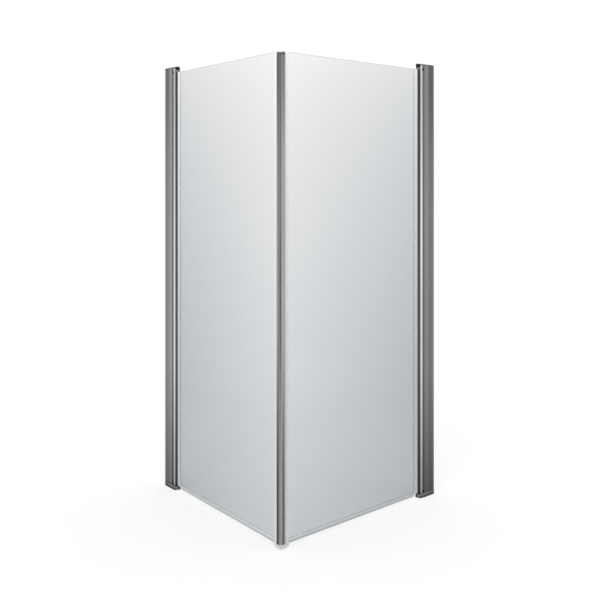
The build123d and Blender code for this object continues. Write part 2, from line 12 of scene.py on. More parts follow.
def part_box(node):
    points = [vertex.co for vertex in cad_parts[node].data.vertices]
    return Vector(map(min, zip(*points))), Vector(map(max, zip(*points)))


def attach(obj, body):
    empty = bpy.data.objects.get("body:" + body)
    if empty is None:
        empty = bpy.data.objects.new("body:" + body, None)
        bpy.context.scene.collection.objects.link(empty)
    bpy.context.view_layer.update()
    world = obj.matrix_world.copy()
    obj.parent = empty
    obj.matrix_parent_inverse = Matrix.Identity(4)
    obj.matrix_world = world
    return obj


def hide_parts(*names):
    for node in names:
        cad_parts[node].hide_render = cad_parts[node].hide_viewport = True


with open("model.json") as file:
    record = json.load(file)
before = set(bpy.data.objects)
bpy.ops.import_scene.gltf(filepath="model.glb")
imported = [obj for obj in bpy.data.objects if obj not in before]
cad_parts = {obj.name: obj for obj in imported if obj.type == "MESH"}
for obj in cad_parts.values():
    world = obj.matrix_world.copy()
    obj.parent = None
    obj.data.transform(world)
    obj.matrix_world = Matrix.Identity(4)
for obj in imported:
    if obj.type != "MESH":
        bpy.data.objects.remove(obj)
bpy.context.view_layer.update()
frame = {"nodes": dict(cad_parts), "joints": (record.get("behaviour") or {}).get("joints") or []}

bl_info = {
    "name": "Corner Shower Screen",
    "version": (1, 0, 0),
    "blender": (4, 5, 0),
    "location": "3D View > Sidebar > Shower Screen",
    "description": "Finishes, fine profiles and a plain studio for a corner shower screen",
    "category": "Object",
}

SIDES = ("left", "right")
FIXED_BODY = "wall_frames"
LABEL = "Shower Screen"


# Places that the frame gives, in metres. u runs from the wall along the panel, v out of the shower.


def extent(name):
    """Lowest and highest corner of the left side's piece, as (u, v, height)."""
    low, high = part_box(f"left_{name}")
    return Vector((low.x, -high.y, low.z)), Vector((high.x, -low.y, high.z))


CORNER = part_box("right_wall_channel")[1].y
FRAME_LOW, FRAME_HIGH = extent("frame_profile")
POST_LOW, POST_HIGH = extent("corner_profile")
GLASS_LOW, GLASS_HIGH = extent("glass")
BUSH_INSET = 0.0003
BAR_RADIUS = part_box("left_bottom_bush")[1].y + BUSH_INSET
HINGE_AT = frame["joints"][0]["pos_m"][0]
HALF_FRAME = FRAME_HIGH.y
HALF_GLASS = GLASS_HIGH.y
HALF_POST = POST_HIGH.y
POST_SPAN = CORNER - POST_LOW.x + HALF_POST


def place(side, u, v):
    """Plan position of a point that is u from the side's wall and v outwards."""
    if side == "left":
        return (u, -v)
    return (CORNER + v, CORNER - u)


def along(side):
    """Unit vector along the panel, away from its wall."""
    return Vector((1, 0, 0)) if side == "left" else Vector((0, -1, 0))


def outwards(side):
    """Unit vector out of the shower."""
    return Vector((0, -1, 0)) if side == "left" else Vector((1, 0, 0))


def door(side):
    """Name of the side's moving body."""
    return f"{side}_door"


# Settings that a user would change


def number(name, description, default, **options):
    """Property for a number."""
    return FloatProperty(name=name, description=description, default=default, **options)


def length(name, description, default):
    """Property for a length in metres."""
    return number(name, description, default, unit="LENGTH", precision=5)


def angle(name, description, default):
    """Property for an angle in radians."""
    return number(name, description, default, subtype="ANGLE")


def paint(name, description, default):
    """Property for a colour."""
    return FloatVectorProperty(
        name=name, description=description, default=default, subtype="COLOR")


class ProfileSettings(bpy.types.PropertyGroup):
    """Sizes of the extruded profiles that the frame's boxes don't give."""

    edge_round: length("Edge round", "Radius on the profiles' long edges", 0.0005)
    face_width: length("Face width", "Width of the flat outer face beside the wall channel", 0.0527)
    groove_depth: length("Groove depth", "Depth of the groove between face and bead", 0.003)
    bead_radius: length("Bead radius", "Radius of the round bead beside the hinge bar", 0.0055)
    bead_inset: length("Bead inset", "How far the bead stays behind the outer face", 0.0005)
    socket_gap: length("Socket gap", "Gap between the hinge bar and its socket", 0.0005)
    wall: length("Wall", "Wall thickness of the frame profile", 0.0018)
    chamber_start: length(
        "Chamber start", "Distance from the wall to the frame's closed chamber", 0.0498)
    port_radius: length("Port radius", "Radius of the round port in the hinge bar", 0.0025)
    port_offset: length("Port offset", "Distance from the hinge axis back to the port", 0.0045)
    post_round: length("Post round", "Radius on the outer edges of the corner profile", 0.0015)
    post_wall: length("Post wall", "Wall thickness of the corner profile", 0.0014)
    post_slot: length(
        "Post slot floor", "Distance from the front corner back to the slot's floor", 0.007)
    groove_flank: length(
        "Groove flank", "Distance from the glass plane to the post's quarter groove", 0.0045)
    mitre_gap: length(
        "Mitre gap", "Gap between each mitred face and the corner's diagonal", 0.00025)
    magnet_width: length("Magnet width", "Width of the magnet strip's pocket", 0.008)
    magnet_depth: length("Magnet depth", "Depth of the magnet strip's pocket", 0.003)
    arc_step: angle("Arc step", "Largest turn between two points on a round stretch", radians(6))


class StripSettings(bpy.types.PropertyGroup):
    """Sizes of the clear plastic strips."""

    wall: length("Wall", "Thickness of the strip in its slot", 0.001)
    lip_root: length("Lip root", "Thickness of the lip beside the metal", 0.0016)
    lip_tip: length("Lip tip", "Thickness of the lip at its edge", 0.0006)
    hinge_mouth: length(
        "Hinge mouth", "Distance from the gasket's floor to the bar's mouth", 0.0068)
    edge_mouth: length("Edge mouth", "Distance from the gasket's floor to the post's mouth", 0.0093)
    seal_leg: length("Seal leg", "How far the seal reaches up the glass", 0.008)
    seal_lip: length("Seal lip", "Thickness of the upright lip under the glass", 0.0014)
    wing_drop: length("Wing drop", "How far the drip wing slopes down", 0.005)
    film: length("Film", "Gap that keeps the strips off the surface of the glass", 0.00004)


class ScrewSettings(bpy.types.PropertyGroup):
    """Sizes of the screws."""

    block_head: length("Block screw head", "Height of the heads in the groove", 0.0024)
    lock_head: length("Lock screw head", "Height of the heads on the inner side", 0.0028)
    shank_share: number("Shank share", "Shank radius as a share of the head radius", 0.5)
    socket_share: number(
        "Socket share", "Hexagon socket's width across flats over the head's width", 0.4)
    socket_depth: number("Socket depth", "Depth of the socket as a share of the head height", 0.6)
    rim_share: number("Rim share", "Height of the heads' upright rim over the heads' height", 0.45)
    sides: IntProperty(
        name="Sides", description="Points round a head, a multiple of six", default=48)


class FinishSettings(bpy.types.PropertyGroup):
    """Colours of the finishes."""

    frame_metal: paint("Frame metal", "Satin anodised wall profiles", (0.29, 0.29, 0.295))
    # Painted highlight on the bead, as its tone over that of the frame's face
    bead_highlight: number("Bead highlight", "Tone of the bead over that of the frame's face", 2.36)
    channel_metal: paint("Channel metal", "Wall channels", (0.23, 0.23, 0.235))
    block_metal: paint("Block metal", "End blocks of the wall profiles", (0.17, 0.17, 0.175))
    bar_metal: paint("Bar metal", "Dark anodised hinge bars", (0.075, 0.076, 0.08))
    plain_steel: paint("Plain steel", "Pins and lock screws", (0.45, 0.45, 0.46))
    black_steel: paint("Black steel", "Screws in the groove", (0.008, 0.008, 0.0085))
    black_plastic: paint("Black plastic", "Bearing bushes", (0.006, 0.006, 0.0065))
    ring_plastic: paint("Ring plastic", "Spacer rings under the top bushes", (0.16, 0.16, 0.165))
    cap_plastic: paint("Cap plastic", "Caps on the corner post", (0.11, 0.11, 0.115))
    foot_plastic: paint("Foot plastic", "Milky feet of the corner post", (0.56, 0.57, 0.58))
    pad_rubber: paint("Pad rubber", "Pads under the wall profiles", (0.045, 0.045, 0.046))
    magnet_rubber: paint("Magnet rubber", "Magnet strips in the mitred faces", (0.2, 0.2, 0.205))
    satin_loss: number(
        "Satin loss", "How much less mirror there is on the bead and in the post's notch", 0.6)
    # Strip colours run from clear to a painted shade, like the glass beside them
    strip_clear: paint(
        "Clear strip", "Strips at the top, beside the corner post", (0.96, 0.96, 0.96))
    strip_shaded: paint(
        "Shaded strip", "Strips at the foot, beside the wall profile", (0.45, 0.48, 0.495))
    strip_clarity: number("Strip clarity", "Share of light that the strips let through", 0.12)
    # Painted shade on the clear seal's lip below the glass
    seal_lip: paint("Seal lip", "Lip of the bottom seal below the glass", (0.46, 0.48, 0.49))
    # The glass colour runs from clear to a painted shade towards the foot and the wall
    glass_clear: paint(
        "Clear glass", "Glass at the top, beside the corner post", (0.925, 0.923, 0.933))
    glass_shaded: paint(
        "Shaded glass", "Glass at the foot, beside the wall profile", (0.4, 0.437, 0.458))
    glass_edge: paint("Glass edge", "Ground top edge of the glass", (0.97, 0.99, 0.985))


class StudioSettings(bpy.types.PropertyGroup):
    """Camera, light and floor."""

    camera_place: FloatVectorProperty(
        name="Camera place", description="Where the camera stands",
        default=(3.3948, -1.9279, 1.4569), subtype="TRANSLATION")
    camera_turn: angle(
        "Camera turn", "Heading of the level camera, from the +Y axis to the left", radians(49.784))
    lens: number("Lens", "Focal length on a 36 mm wide sensor, in millimetres", 47.8)
    shift_x: number("Shift X", "Sideways shift of the lens", -0.0283)
    shift_y: number("Shift Y", "Upright shift of the lens", -0.1971)
    sun_strength: number("Sun strength", "Light of the large soft key lamp", 1.5)
    sun_size: angle("Sun size", "Angle that the key lamp fills", radians(35))
    panel_power: number("Panel power", "Power of each light panel in watts", 22.0)
    world_level: number("World level", "Light from all round", 0.95)
    floor_grey: number("Floor grey", "Grey of the floor, which the object's shadow darkens", 0.3)
    floor_level: number("Floor level", "White that the floor shows to the camera by itself", 0.635)
    floor_reach: length("Floor reach", "Half the width of the floor", 40.0)


class ShowerScreenSettings(bpy.types.PropertyGroup):
    """All settings of the shower screen."""

    profile: PointerProperty(type=ProfileSettings)
    strip: PointerProperty(type=StripSettings)
    screw: PointerProperty(type=ScrewSettings)
    finish: PointerProperty(type=FinishSettings)
    studio: PointerProperty(type=StudioSettings)


def settings():
    """The scene's settings for the shower screen."""
    return bpy.context.scene.shower_screen


# Node trees


class Wiring:
    """Adds nodes to one tree and joins them."""

    def __init__(self, tree):
        self.tree = tree

    def feed(self, socket, value):
        """Links a socket into another, or sets its plain value."""
        if isinstance(value, bpy.types.NodeSocket):
            self.tree.links.new(value, socket)
        else:
            socket.default_value = value

    def add(self, kind, inputs=None, **options):
        """New node with these inputs, by name or by number, and these options."""
        node = self.tree.nodes.new(kind)
        for name, value in options.items():
            setattr(node, name, value)
        for name, value in (inputs or {}).items():
            self.feed(node.inputs[name], value)
        return node

    def math(self, operation, *values, clamp=False):
        """Output of a Math node."""
        inputs = dict(enumerate(values))
        return self.add("ShaderNodeMath", inputs, operation=operation, use_clamp=clamp).outputs[0]

    def spread(self, value, low, high, to_low=0.0, to_high=1.0, smooth=True):
        """Output of a Map Range node that is clamped at both ends."""
        kind = "SMOOTHSTEP" if smooth else "LINEAR"
        inputs = {"Value": value, 1: low, 2: high, 3: to_low, 4: to_high}
        return self.add("ShaderNodeMapRange", inputs, interpolation_type=kind).outputs[0]

    def blend(self, share, first, second, kind="MIX"):
        """Colour output of a Mix node."""
        inputs = {0: share, 6: first, 7: second}
        return self.add("ShaderNodeMix", inputs, data_type="RGBA", blend_type=kind).outputs[2]

    def ramp(self, share, stops):
        """Colour output of a grey ramp with these (place, level) stops."""
        node = self.add("ShaderNodeValToRGB", {0: share})
        elements = node.color_ramp.elements
        while len(elements) < len(stops):
            elements.new(1.0)
        for element, (at, level) in zip(elements, stops):
            element.position = at
            element.color = (level, level, level, 1.0)
        return node.outputs[0]

    def noise(self, vector, scale, detail=2.0, roughness=0.5):
        """Value output of a Noise Texture."""
        inputs = {"Vector": vector, "Scale": scale, "Detail": detail, "Roughness": roughness}
        return self.add("ShaderNodeTexNoise", inputs).outputs[0]

    def stretched(self, vector, upright_share):
        """Vector whose height counts for this share only, which draws a pattern out upwards."""
        inputs = {"Vector": vector, "Scale": (1, 1, upright_share)}
        return self.add("ShaderNodeMapping", inputs).outputs[0]

    def shaded(self, base, share):
        """A colour times a value."""
        inputs = {0: share, 1: share, 2: share}
        grey = self.add("ShaderNodeCombineColor", inputs).outputs[0]
        return self.blend(1.0, base, grey, "MULTIPLY")


def colour(values):
    """A colour with full alpha."""
    return (*values, 1.0)


def node_group(name, kind, inputs, outputs, build):
    """The named group, built once by build(wiring, entry, leave)."""
    tree = bpy.data.node_groups.get(name)
    if tree:
        return tree
    tree = bpy.data.node_groups.new(name, kind)
    for label, socket_type, default in inputs:
        socket = tree.interface.new_socket(label, in_out="INPUT", socket_type=socket_type)
        if default is not None:
            socket.default_value = default
    for label, socket_type in outputs:
        tree.interface.new_socket(label, in_out="OUTPUT", socket_type=socket_type)
    entry = tree.nodes.new("NodeGroupInput").outputs
    leave = tree.nodes.new("NodeGroupOutput").inputs
    build(Wiring(tree), entry, leave)
    return tree


FLOAT = "NodeSocketFloat"
VECTOR = "NodeSocketVector"
COLOUR = "NodeSocketColor"
GEOMETRY = "NodeSocketGeometry"
MATERIAL = "NodeSocketMaterial"


def shader_group(name, inputs, outputs):
    """Makes a builder into a function that places the named group and gives its outputs."""

    def kind(label):
        return COLOUR if label == "Color" else FLOAT

    entries = [("Vector", VECTOR, None)]
    entries += [(label, kind(label), default) for label, default in inputs.items()]
    exits = [(label, kind(label)) for label in outputs]

    def wrap(build):
        @wraps(build)
        def placed(wiring, vector, **values):
            group = node_group(name, "ShaderNodeTree", entries, exits, build)
            inputs = {"Vector": vector, **values}
            return wiring.add("ShaderNodeGroup", inputs, node_tree=group).outputs

        return placed

    return wrap


@shader_group("Panel place", {"Corner": CORNER}, ("Across", "Outwards", "Height", "Skew", "Beyond"))
def panel_place(wiring, entry, leave):
    """Distances along and out of a panel, height, way across the post and past the corner."""
    axes = wiring.add("ShaderNodeSeparateXYZ", {0: entry["Vector"]}).outputs
    from_right = wiring.math("SUBTRACT", entry["Corner"], axes[1])
    beyond = wiring.math("SUBTRACT", axes[0], entry["Corner"])
    inwards = wiring.math("MULTIPLY", axes[1], -1.0)
    wiring.feed(leave["Across"], wiring.math("MINIMUM", axes[0], from_right))
    wiring.feed(leave["Outwards"], wiring.math("MAXIMUM", inwards, beyond))
    wiring.feed(leave["Height"], axes[2])
    wiring.feed(leave["Skew"], wiring.math("ADD", beyond, axes[1]))
    wiring.feed(leave["Beyond"], wiring.math("MINIMUM", inwards, beyond))


@shader_group(
    "Painted shade",
    {"Top": GLASS_HIGH.z, "Shade From": 0.5, "Haste": 0.67, "Drop Share": 0.58},
    ("Painted shade",))
def painted_shade(wiring, entry, leave):
    """Share of painted shade on clear pieces, which deepens downwards and towards the wall."""
    spot = panel_place(wiring, entry["Vector"])
    drop = wiring.spread(spot["Height"], entry["Top"], entry["Shade From"], smooth=False)
    wallwards = wiring.spread(spot["Across"], CORNER, 0.0, smooth=False)
    fallen = wiring.math("POWER", drop, entry["Haste"])
    down = wiring.math("MULTIPLY", fallen, entry["Drop Share"])
    rest = wiring.math("SUBTRACT", 1.0, entry["Drop Share"])
    wiring.feed(leave["Painted shade"], wiring.math("MULTIPLY_ADD", wallwards, rest, down))


@shader_group(
    "Upright light",
    {"Foot": 0.42, "Head": 0.7, "Right": 1.0, "Full From": 0.6, "Full To": 1.1},
    ("Light",))
def upright_light(wiring, entry, leave):
    """Shade of tall metal that is lightest halfway up, and darker on the right panel."""
    spot = panel_place(wiring, entry["Vector"])
    height = spot["Height"]
    low = wiring.spread(height, 0.0, entry["Full From"], entry["Foot"], 1.0, smooth=False)
    high = wiring.spread(height, entry["Full To"], FRAME_HIGH.z, 1.0, entry["Head"])
    right = wiring.math("GREATER_THAN", spot["Skew"], 0.0)
    side = wiring.spread(right, 0.0, 1.0, 1.0, entry["Right"])
    upright = wiring.math("MULTIPLY", low, high)
    wiring.feed(leave["Light"], wiring.math("MULTIPLY", upright, side))


def lay_pattern(wiring, entry, leave, fine, slow, fine_share, rough_gain):
    """Changes a group's colour and roughness by a fine and a slow noise."""
    fine_part = wiring.math("MULTIPLY", fine, fine_share)
    slow_part = wiring.math("MULTIPLY", slow, 1.0 - fine_share)
    both = wiring.math("ADD", fine_part, slow_part)
    centred = wiring.math("SUBTRACT", both, 0.5)
    shade = wiring.math("MULTIPLY_ADD", centred, entry["Contrast"], 1.0)
    rough = wiring.math("MULTIPLY_ADD", centred, rough_gain, entry["Roughness"], clamp=True)
    wiring.feed(leave["Color"], wiring.shaded(entry["Color"], shade))
    wiring.feed(leave["Roughness"], rough)
    wiring.feed(leave["Height"], fine)


PATTERN_INPUTS = {
    "Color": (0.5, 0.5, 0.5, 1.0), "Roughness": 0.4, "Scale": 2000.0, "Contrast": 0.2}
PATTERN_OUTPUTS = ("Color", "Roughness", "Height")


@shader_group("Drawn metal", PATTERN_INPUTS, PATTERN_OUTPUTS)
def drawn_metal(wiring, entry, leave):
    """Die lines along the length of an extrusion, with broad faint streaks between them."""
    lines = wiring.noise(wiring.stretched(entry["Vector"], 0.004), entry["Scale"], detail=3.0)
    streaks = wiring.noise(wiring.stretched(entry["Vector"], 0.03), scale=90.0)
    lay_pattern(wiring, entry, leave, lines, streaks, fine_share=0.65, rough_gain=0.25)


@shader_group("Fine grain", PATTERN_INPUTS, PATTERN_OUTPUTS)
def fine_grain(wiring, entry, leave):
    """Even grain of bare metal, moulded plastic and rubber, with slow changes of tone."""
    grain = wiring.noise(entry["Vector"], entry["Scale"], detail=3.0, roughness=0.6)
    clouds = wiring.noise(entry["Vector"], scale=45.0)
    lay_pattern(wiring, entry, leave, grain, clouds, fine_share=0.6, rough_gain=0.3)


def cleared(holder):
    """Wiring of a material or a world that starts without nodes."""
    holder.use_nodes = True
    holder.node_tree.nodes.clear()
    return Wiring(holder.node_tree)


def new_material(name):
    """Empty material, its wiring, its shader, its output and the Object coordinates."""
    material = bpy.data.materials.new(name)
    wiring = cleared(material)
    shader = wiring.add("ShaderNodeBsdfPrincipled")
    output = wiring.add("ShaderNodeOutputMaterial", {"Surface": shader.outputs[0]})
    where = wiring.add("ShaderNodeTexCoord").outputs["Object"]
    return material, wiring, shader, output, where


LAMP_SHARE = 0.97
BUMP_STRENGTH = 0.6


def lit_through(wiring, shader, output):
    """Lets nearly all the light of lamps through each surface of a clear piece."""
    paths = wiring.add("ShaderNodeLightPath")
    passing = wiring.add("ShaderNodeBsdfTransparent", {"Color": colour([LAMP_SHARE] * 3)})
    inputs = {0: paths.outputs["Is Shadow Ray"], 1: shader.outputs[0], 2: passing.outputs[0]}
    joined = wiring.add("ShaderNodeMixShader", inputs)
    wiring.feed(output.inputs["Surface"], joined.outputs[0])


def surface_material(name, pattern, tone, roughness, scale, contrast, relief, metal=0.0, **sockets):
    """Material whose colour, roughness and relief come from a shared pattern."""
    material, wiring, shader, output, where = new_material(name)
    made = pattern(
        wiring, where,
        Color=tone(wiring, where), Roughness=roughness, Scale=scale, Contrast=contrast)
    bump = wiring.add("ShaderNodeBump", {
        "Strength": BUMP_STRENGTH, "Distance": relief, "Height": made["Height"]})
    wiring.feed(shader.inputs["Base Color"], made["Color"])
    wiring.feed(shader.inputs["Roughness"], made["Roughness"])
    wiring.feed(shader.inputs["Normal"], bump.outputs[0])
    wiring.feed(shader.inputs["Metallic"], metal(wiring, where) if callable(metal) else metal)
    for socket, value in sockets.items():
        shader.inputs[socket.replace("_", " ")].default_value = value
    if "Transmission_Weight" in sockets:
        lit_through(wiring, shader, output)
    return material


def extruded(name, tone, roughness=0.34, metal=1.0):
    """Anodised aluminium extrusion."""
    return surface_material(
        name, drawn_metal, tone, roughness, scale=2200.0, contrast=0.3, relief=0.00002, metal=metal)


def blasted(name, tone, roughness=0.45):
    """Bare metal with a fine, even grain."""
    return surface_material(
        name, fine_grain, tone, roughness, scale=2600.0, contrast=0.2, relief=0.00003, metal=1.0)


def moulded(name, tone, roughness=0.5, relief=0.00005, **sockets):
    """Moulded plastic, rubber or black coating."""
    return surface_material(
        name, fine_grain, tone, roughness, scale=1800.0, contrast=0.25, relief=relief, **sockets)


def clear_strip(name, tone):
    """Soft clear plastic, a little milky."""
    clarity = settings().finish.strip_clarity
    return moulded(name, tone, 0.25, relief=0.00002, Transmission_Weight=clarity, IOR=1.3)


# Where the tones change. Heights and distances are in metres, the rest are shares.

# Painted shade beside the wall, and painted light by height and on the bead
WALL_DARK_TO, WALL_CLEAR_FROM = 0.03, 0.046
WALL_SHADE_FROM = 1.4
WALL_SHADE, WALL_SHADE_TOP = 0.76, 0.48
RIGHT_RISE = (0.6, 1.4)
FACE_HEAD, FACE_RIGHT = 0.95, (0.76, 0.9)
BEAD_HEAD, BEAD_RIGHT = 0.71, (0.97, 1.2)
BEAD_BEGIN, BEAD_FULL = 0.75, 0.55

# Stops of a ramp of painted light: place from the post's left side to its right, and grey level
POST_TOP_RAMP = ((0.12, 0.14), (0.38, 0.14), (0.55, 0.21), (0.71, 0.26), (0.81, 0.17), (0.9, 0.3))
POST_RAMP = ((0.12, 0.31), (0.38, 0.2), (0.5, 0.19), (0.6, 0.3), (0.71, 0.38))
POST_FOOT_RAMP = (
    (0.1, 0.05), (0.25, 0.085), (0.38, 0.22), (0.6, 0.35), (0.7, 0.17), (0.81, 0.1), (0.92, 0.28))
POST_FOOT_FROM, POST_FOOT_FULL = 1.0, 0.2
POST_TOP_FROM, POST_TOP_FULL = 1.5, FRAME_HIGH.z - 0.05
NOTCH_MARGIN = 0.0002
# Painted light in the post's notch, away from its middle height
NOTCH_PLAIN_AT = 0.97
NOTCH_GAIN_FROM, NOTCH_GAIN_FULL, NOTCH_GAIN = 0.1, 0.4, 0.45

STRIP_INNER_SHARE, STRIP_BLEND = 0.05, 0.001
GROUND_BEGIN, GROUND_FULL = 0.0012, 0.0004
# Painted shade along the lowest edge of the end blocks
BLOCK_RIM, BLOCK_RIM_END, BLOCK_RIM_SHADE = 0.009, 0.012, 0.35


# Tones, as functions that give a colour to a wiring


def even(base):
    """The same colour all over."""
    return lambda wiring, where: colour(base)


def upright_tone(base):
    """A colour that is lightest halfway up."""
    return lambda wiring, where: wiring.shaded(colour(base), upright_light(wiring, where)["Light"])


def on_bead(wiring, where):
    """1 on the bead of a frame profile and on its side of the socket, 0 elsewhere."""
    sizes = settings().profile
    middle, half = bead_centre(sizes)[0], sizes.bead_radius
    begin, full = middle - BEAD_BEGIN * half, middle - BEAD_FULL * half
    spot = panel_place(wiring, where)
    outside = wiring.math("GREATER_THAN", spot["Outwards"], 0.0)
    return wiring.math("MULTIPLY", wiring.spread(spot["Across"], begin, full), outside)


def in_notch(wiring, where):
    """1 in the notch between the two corner profiles, 0 on their outer faces."""
    spot = panel_place(wiring, where)
    flank = settings().profile.groove_flank - NOTCH_MARGIN
    return wiring.math("GREATER_THAN", spot["Beyond"], flank)


def satin(mask):
    """Metallic value that is lower where the mask is 1."""
    loss = settings().finish.satin_loss
    return lambda wiring, where: wiring.math("MULTIPLY_ADD", mask(wiring, where), -loss, 1.0)


def wall_shade(wiring, where):
    """Shade that darkens metal beside the wall, the more the nearer the top."""
    spot = panel_place(wiring, where)
    deepest = wiring.spread(
        spot["Height"], WALL_SHADE_FROM, FRAME_HIGH.z, WALL_SHADE, WALL_SHADE_TOP)
    return wiring.spread(spot["Across"], WALL_DARK_TO, WALL_CLEAR_FROM, deepest, 1.0)


def frame_tone(finish):
    """Frame profile: painted shade at the wall, and a painted highlight on the bead."""

    def tone(wiring, where):
        height = panel_place(wiring, where)["Height"]
        face_right = wiring.spread(height, *RIGHT_RISE, *FACE_RIGHT)
        bead_right = wiring.spread(height, *RIGHT_RISE, *BEAD_RIGHT)
        face_light = upright_light(wiring, where, Head=FACE_HEAD, Right=face_right)
        bead_light = upright_light(wiring, where, Head=BEAD_HEAD, Right=bead_right)
        face = wiring.math("MULTIPLY", wall_shade(wiring, where), face_light["Light"])
        # Painted highlight on the bead
        bead = wiring.math("MULTIPLY", finish.bead_highlight, bead_light["Light"])
        light = wiring.add("ShaderNodeMix", {0: on_bead(wiring, where), 2: face, 3: bead})
        return wiring.shaded(colour(finish.frame_metal), light.outputs[0])

    return tone


def post_tone(wiring, where):
    """Corner profiles: soft changes of light from the left side of the post to the right."""
    spot = panel_place(wiring, where)
    across = wiring.spread(spot["Skew"], -POST_SPAN, POST_SPAN, smooth=False)
    top, middle, foot = [
        wiring.ramp(across, stops) for stops in (POST_TOP_RAMP, POST_RAMP, POST_FOOT_RAMP)]
    low = wiring.spread(spot["Height"], POST_FOOT_FROM, POST_FOOT_FULL)
    high = wiring.spread(spot["Height"], POST_TOP_FROM, POST_TOP_FULL)
    plain = wiring.blend(high, wiring.blend(low, middle, foot), top)
    from_middle = wiring.math("SUBTRACT", spot["Height"], NOTCH_PLAIN_AT)
    gain = wiring.spread(
        wiring.math("ABSOLUTE", from_middle), NOTCH_GAIN_FROM, NOTCH_GAIN_FULL, 0.0, NOTCH_GAIN)
    lit = wiring.math("MULTIPLY_ADD", in_notch(wiring, where), gain, 1.0)
    return wiring.shaded(plain, lit)


def strip_tone(finish):
    """Clear strips: painted shade like that of the glass beside them, less on the inner side."""

    def tone(wiring, where):
        out = panel_place(wiring, where)["Outwards"]
        side = wiring.spread(out, 0.0, -STRIP_BLEND, 1.0, STRIP_INNER_SHARE)
        share = wiring.math("MULTIPLY", painted_shade(wiring, where)["Painted shade"], side)
        return wiring.blend(share, colour(finish.strip_clear), colour(finish.strip_shaded))

    return tone


def seal_tone(finish):
    """Bottom seal: painted shade like the other strips on the glass, and a grey painted shade on
    the lip below it.
    """

    def tone(wiring, where):
        height = panel_place(wiring, where)["Height"]
        beside_glass = wiring.spread(height, GLASS_LOW.z, GLASS_LOW.z + STRIP_BLEND)
        strip = strip_tone(finish)(wiring, where)
        return wiring.blend(beside_glass, colour(finish.seal_lip), strip)

    return tone


def block_tone(finish):
    """End blocks: painted shade along the lowest edge and beside the wall."""

    def tone(wiring, where):
        height = panel_place(wiring, where)["Height"]
        rim = wiring.spread(height, BLOCK_RIM, BLOCK_RIM_END, BLOCK_RIM_SHADE, 1.0)
        shade = wiring.math("MULTIPLY", wall_shade(wiring, where), rim)
        return wiring.shaded(colour(finish.block_metal), shade)

    return tone


def glass_material(name, finish):
    """Clear glass with painted shade that deepens towards the foot and the wall profile, paler on
    its top edge.
    """
    material, wiring, shader, output, where = new_material(name)
    # Share of painted shade on the glass
    shade_share = painted_shade(wiring, where)["Painted shade"]
    tint = wiring.blend(shade_share, colour(finish.glass_clear), colour(finish.glass_shaded))
    smear = wiring.noise(wiring.stretched(where, 0.25), scale=14.0, detail=4.0, roughness=0.6)
    rough = wiring.spread(smear, 0.45, 0.8, to_low=0.0, to_high=0.03)
    height, top = panel_place(wiring, where)["Height"], GLASS_HIGH.z
    ground = wiring.spread(height, top - GROUND_BEGIN, top - GROUND_FULL)
    wiring.feed(shader.inputs["Base Color"], wiring.blend(ground, tint, colour(finish.glass_edge)))
    wiring.feed(shader.inputs["Roughness"], rough)
    shader.inputs["Transmission Weight"].default_value = 1.0
    shader.inputs["IOR"].default_value = 1.5
    lit_through(wiring, shader, output)
    return material


DULL_GLOSS = 0.12
FINISHES = {
    "Frame aluminium": lambda name, look: extruded(name, frame_tone(look), metal=satin(on_bead)),
    "Channel aluminium": lambda name, look: extruded(name, upright_tone(look.channel_metal)),
    "Post aluminium": lambda name, look: extruded(name, post_tone, 0.3, satin(in_notch)),
    "Dark bar aluminium": lambda name, look: extruded(name, upright_tone(look.bar_metal), 0.3),
    "Block metal": lambda name, look: blasted(name, block_tone(look)),
    "Black screw steel": lambda name, look: moulded(
        name, even(look.black_steel), relief=0.00003, Specular_IOR_Level=DULL_GLOSS),
    "Plain steel": lambda name, look: blasted(name, even(look.plain_steel), 0.3),
    "Bush plastic": lambda name, look: moulded(
        name, even(look.black_plastic), Specular_IOR_Level=DULL_GLOSS),
    "Ring plastic": lambda name, look: moulded(name, even(look.ring_plastic)),
    "Cap plastic": lambda name, look: moulded(name, even(look.cap_plastic), 0.42),
    "Foot plastic": lambda name, look: moulded(name, even(look.foot_plastic), 0.3),
    "Pad rubber": lambda name, look: moulded(name, even(look.pad_rubber), 0.7, 0.0001),
    "Magnet rubber": lambda name, look: moulded(name, even(look.magnet_rubber), 0.6),
    "Clear strip": lambda name, look: clear_strip(name, strip_tone(look)),
    "Clear seal": lambda name, look: clear_strip(name, seal_tone(look)),
    "Clear glass": glass_material,
}


def finish_of(name):
    """The named material, made when it is first asked for."""
    return bpy.data.materials.get(name) or FINISHES[name](name, settings().finish)


def dress(name, finish):
    """Gives the left and the right CAD node of a piece their finish."""
    for side in SIDES:
        for slot in frame["nodes"][f"{side}_{name}"].material_slots:
            slot.material = finish_of(finish)


# Outlines in the plan of a panel, as closed lists of (u, v)


def arc(centre, radius, start, end, step):
    """Points on an arc between two angles, both ends included."""
    count = max(2, round(abs(end - start) / step))
    turns = [start + (end - start) * index / count for index in range(count + 1)]
    return [(centre[0] + radius * cos(turn), centre[1] + radius * sin(turn)) for turn in turns]


def rounded(points, radii, step):
    """Outline with an arc of its radius at each corner that has one."""
    outline = []
    for index, (point, radius) in enumerate(zip(points, radii)):
        here = Vector(point)
        before = (Vector(points[index - 1]) - here).normalized()
        after = (Vector(points[(index + 1) % len(points)]) - here).normalized()
        corner = acos(max(-1.0, min(1.0, before.dot(after))))
        if radius == 0 or abs(pi - corner) < step:
            outline.append(tuple(point))
            continue
        centre = here + (before + after).normalized() * (radius / sin(corner / 2))
        first = here + before * (radius / tan(corner / 2)) - centre
        last = here + after * (radius / tan(corner / 2)) - centre
        start = atan2(first.y, first.x)
        turn = (atan2(last.y, last.x) - start + pi) % (2 * pi) - pi
        outline += arc(centre, radius, start, start + turn, step)
    return outline


def socket_radius(sizes):
    """Radius of the socket round the hinge bar."""
    return BAR_RADIUS + sizes.socket_gap


def bead_centre(sizes):
    """Middle of the round bead, which touches the socket's circle."""
    out = HALF_FRAME - sizes.bead_inset - sizes.bead_radius
    return (HINGE_AT - sqrt((socket_radius(sizes) + sizes.bead_radius) ** 2 - out**2), out)


